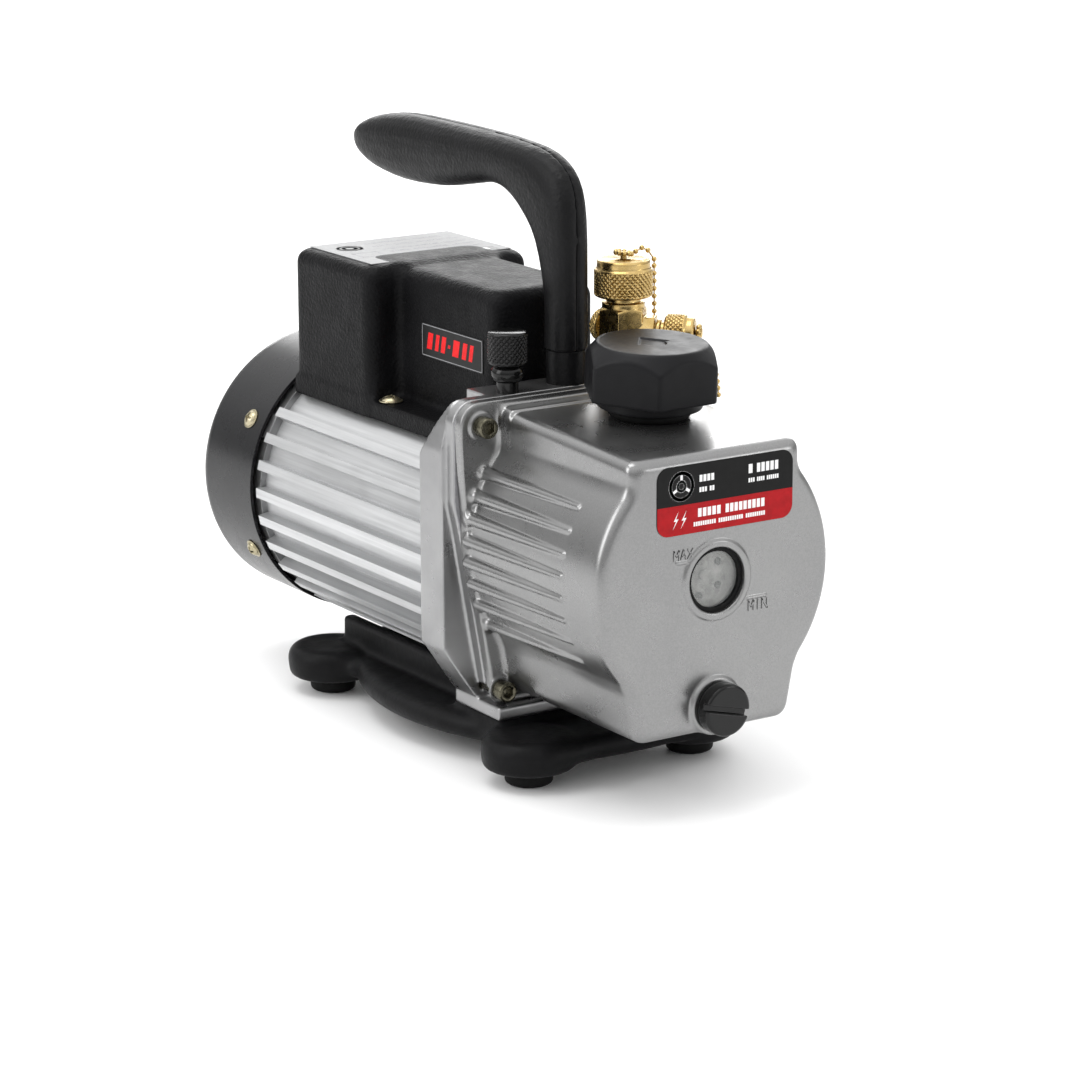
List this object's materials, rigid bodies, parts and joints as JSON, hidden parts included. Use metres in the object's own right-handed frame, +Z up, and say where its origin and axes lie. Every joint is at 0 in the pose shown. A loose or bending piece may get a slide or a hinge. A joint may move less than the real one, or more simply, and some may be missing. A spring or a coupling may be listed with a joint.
{
  "type": "rotary vane vacuum pump",
  "caption": "Portable rotary vane vacuum pump: finned motor, cast oil cover with sight glass, carrying handle, capped intake ports and a moulded base on rubber feet.",
  "frame": {"origin": "middle of the bounding box at the bottom of the rubber feet", "axes": "+Z up, -Y towards the oil cover, +Y towards the fan cover, shaft along Y"},
  "size_m": [0.1088, 0.283, 0.2225],
  "materials": {
    "black_plastic": "textured",
    "gloss_black": "gloss",
    "rubber": "matte",
    "zinc_steel": "zinc plated",
    "steel": "machined",
    "extruded_aluminium": "satin",
    "silver_paint": "satin silver",
    "cast_aluminium": "cast",
    "black_paint": "satin",
    "cast_iron": "machined",
    "brass": "machined",
    "glass": "clear",
    "copper_wire": "enamelled",
    "white_label": "satin",
    "black_label": "satin",
    "red_plastic": "gloss"
  },
  "bodies": {
    "pump_body": {"base": "black_plastic", "rubber_feet": "rubber", "foot_screws": "steel", "base_bolts": "steel", "motor_shell": "extruded_aluminium", "stator_core": "steel", "stator_windings": "copper_wire", "through_bolts": "steel", "bell_housing": "cast_aluminium", "rear_end_shield": "cast_aluminium", "front_bearing": "steel", "rear_bearing": "steel", "shaft_seal": "rubber", "fan_cover": "black_paint", "fan_cover_screws": "zinc_steel", "pump_cylinder": "cast_iron", "pump_end_plate": "cast_iron", "pump_screws": "steel", "exhaust_valve": "steel", "valve_stop": "steel", "cover_gasket": "rubber", "oil_cover": "silver_paint", "cover_screws": "zinc_steel", "sight_glass": "glass", "sight_glass_seal": "rubber", "drain_seal": "rubber", "fill_cap_seal": "rubber", "intake_tee": "brass", "intake_screen": "steel", "cap_chain_top": "brass", "cap_chain_side": "brass", "chain_ring": "rubber", "gas_ballast_seat": "gloss_black", "handle_left": "black_plastic", "handle_right": "black_plastic", "handle_collar": "gloss_black", "handle_stud": "steel", "junction_box": "black_plastic", "box_screws": "zinc_steel", "capacitor": "black_plastic", "power_inlet": "black_plastic", "switch_bezel": "black_plastic", "rating_label": "white_label", "front_label": "black_label", "side_badge": "black_label"},
    "rotor": {"motor_shaft": "steel", "motor_rotor_core": "steel", "shaft_key": "steel", "cooling_fan": "black_plastic", "pump_rotor": "steel", "vanes": "black_plastic", "vane_springs": "steel"},
    "fill_cap": {"oil_fill_cap": "black_plastic"},
    "drain": {"drain_plug": "gloss_black"},
    "top_cap": {"intake_cap_top": "brass"},
    "side_cap": {"intake_cap_side": "brass"},
    "rear_cap": {"intake_cap_rear": "brass"},
    "ballast": {"gas_ballast_knob": "gloss_black"},
    "rocker": {"rocker_switch": "red_plastic"},
    "selector": {"voltage_selector": "red_plastic"}
  },
  "joints": [
    {"name": "rotor_spin", "type": "hinge", "parent": "pump_body", "child": "rotor", "pos_m": [0, 0, 0.075], "axis": [0, 1, 0], "continuous": true},
    {"name": "fill_cap_lift", "type": "slide", "parent": "pump_body", "child": "fill_cap", "axis": [0, -0.0541, 0.9985], "range_m": [0, 0.03]},
    {"name": "drain_plug_out", "type": "slide", "parent": "pump_body", "child": "drain", "axis": [0, -1, 0], "range_m": [0, 0.02]},
    {"name": "top_cap_lift", "type": "slide", "parent": "pump_body", "child": "top_cap", "axis": [0, 0, 1], "range_m": [0, 0.014], "deforming": ["cap_chain_top"]},
    {"name": "side_cap_off", "type": "slide", "parent": "pump_body", "child": "side_cap", "axis": [0.7071, -0.7071, 0], "range_m": [0, 0.012], "deforming": ["cap_chain_side"]},
    {"name": "rear_cap_turn", "type": "hinge", "parent": "pump_body", "child": "rear_cap", "pos_m": [0.024, -0.033, 0.1535], "axis": [0, 1, 0], "range_deg": [0, 350]},
    {"name": "ballast_turn", "type": "hinge", "parent": "pump_body", "child": "ballast", "pos_m": [-0.027, -0.0435, 0.15], "axis": [0, 0, 1], "range_deg": [0, 270]},
    {"name": "switch_rock", "type": "hinge", "parent": "pump_body", "child": "rocker", "pos_m": [0.016, 0.0905, 0.149], "axis": [1, 0, 0], "range_deg": [-18, 0]},
    {"name": "selector_slide", "type": "slide", "parent": "pump_body", "child": "selector", "axis": [1, 0, 0], "range_m": [0, 0.003]}
  ]
}
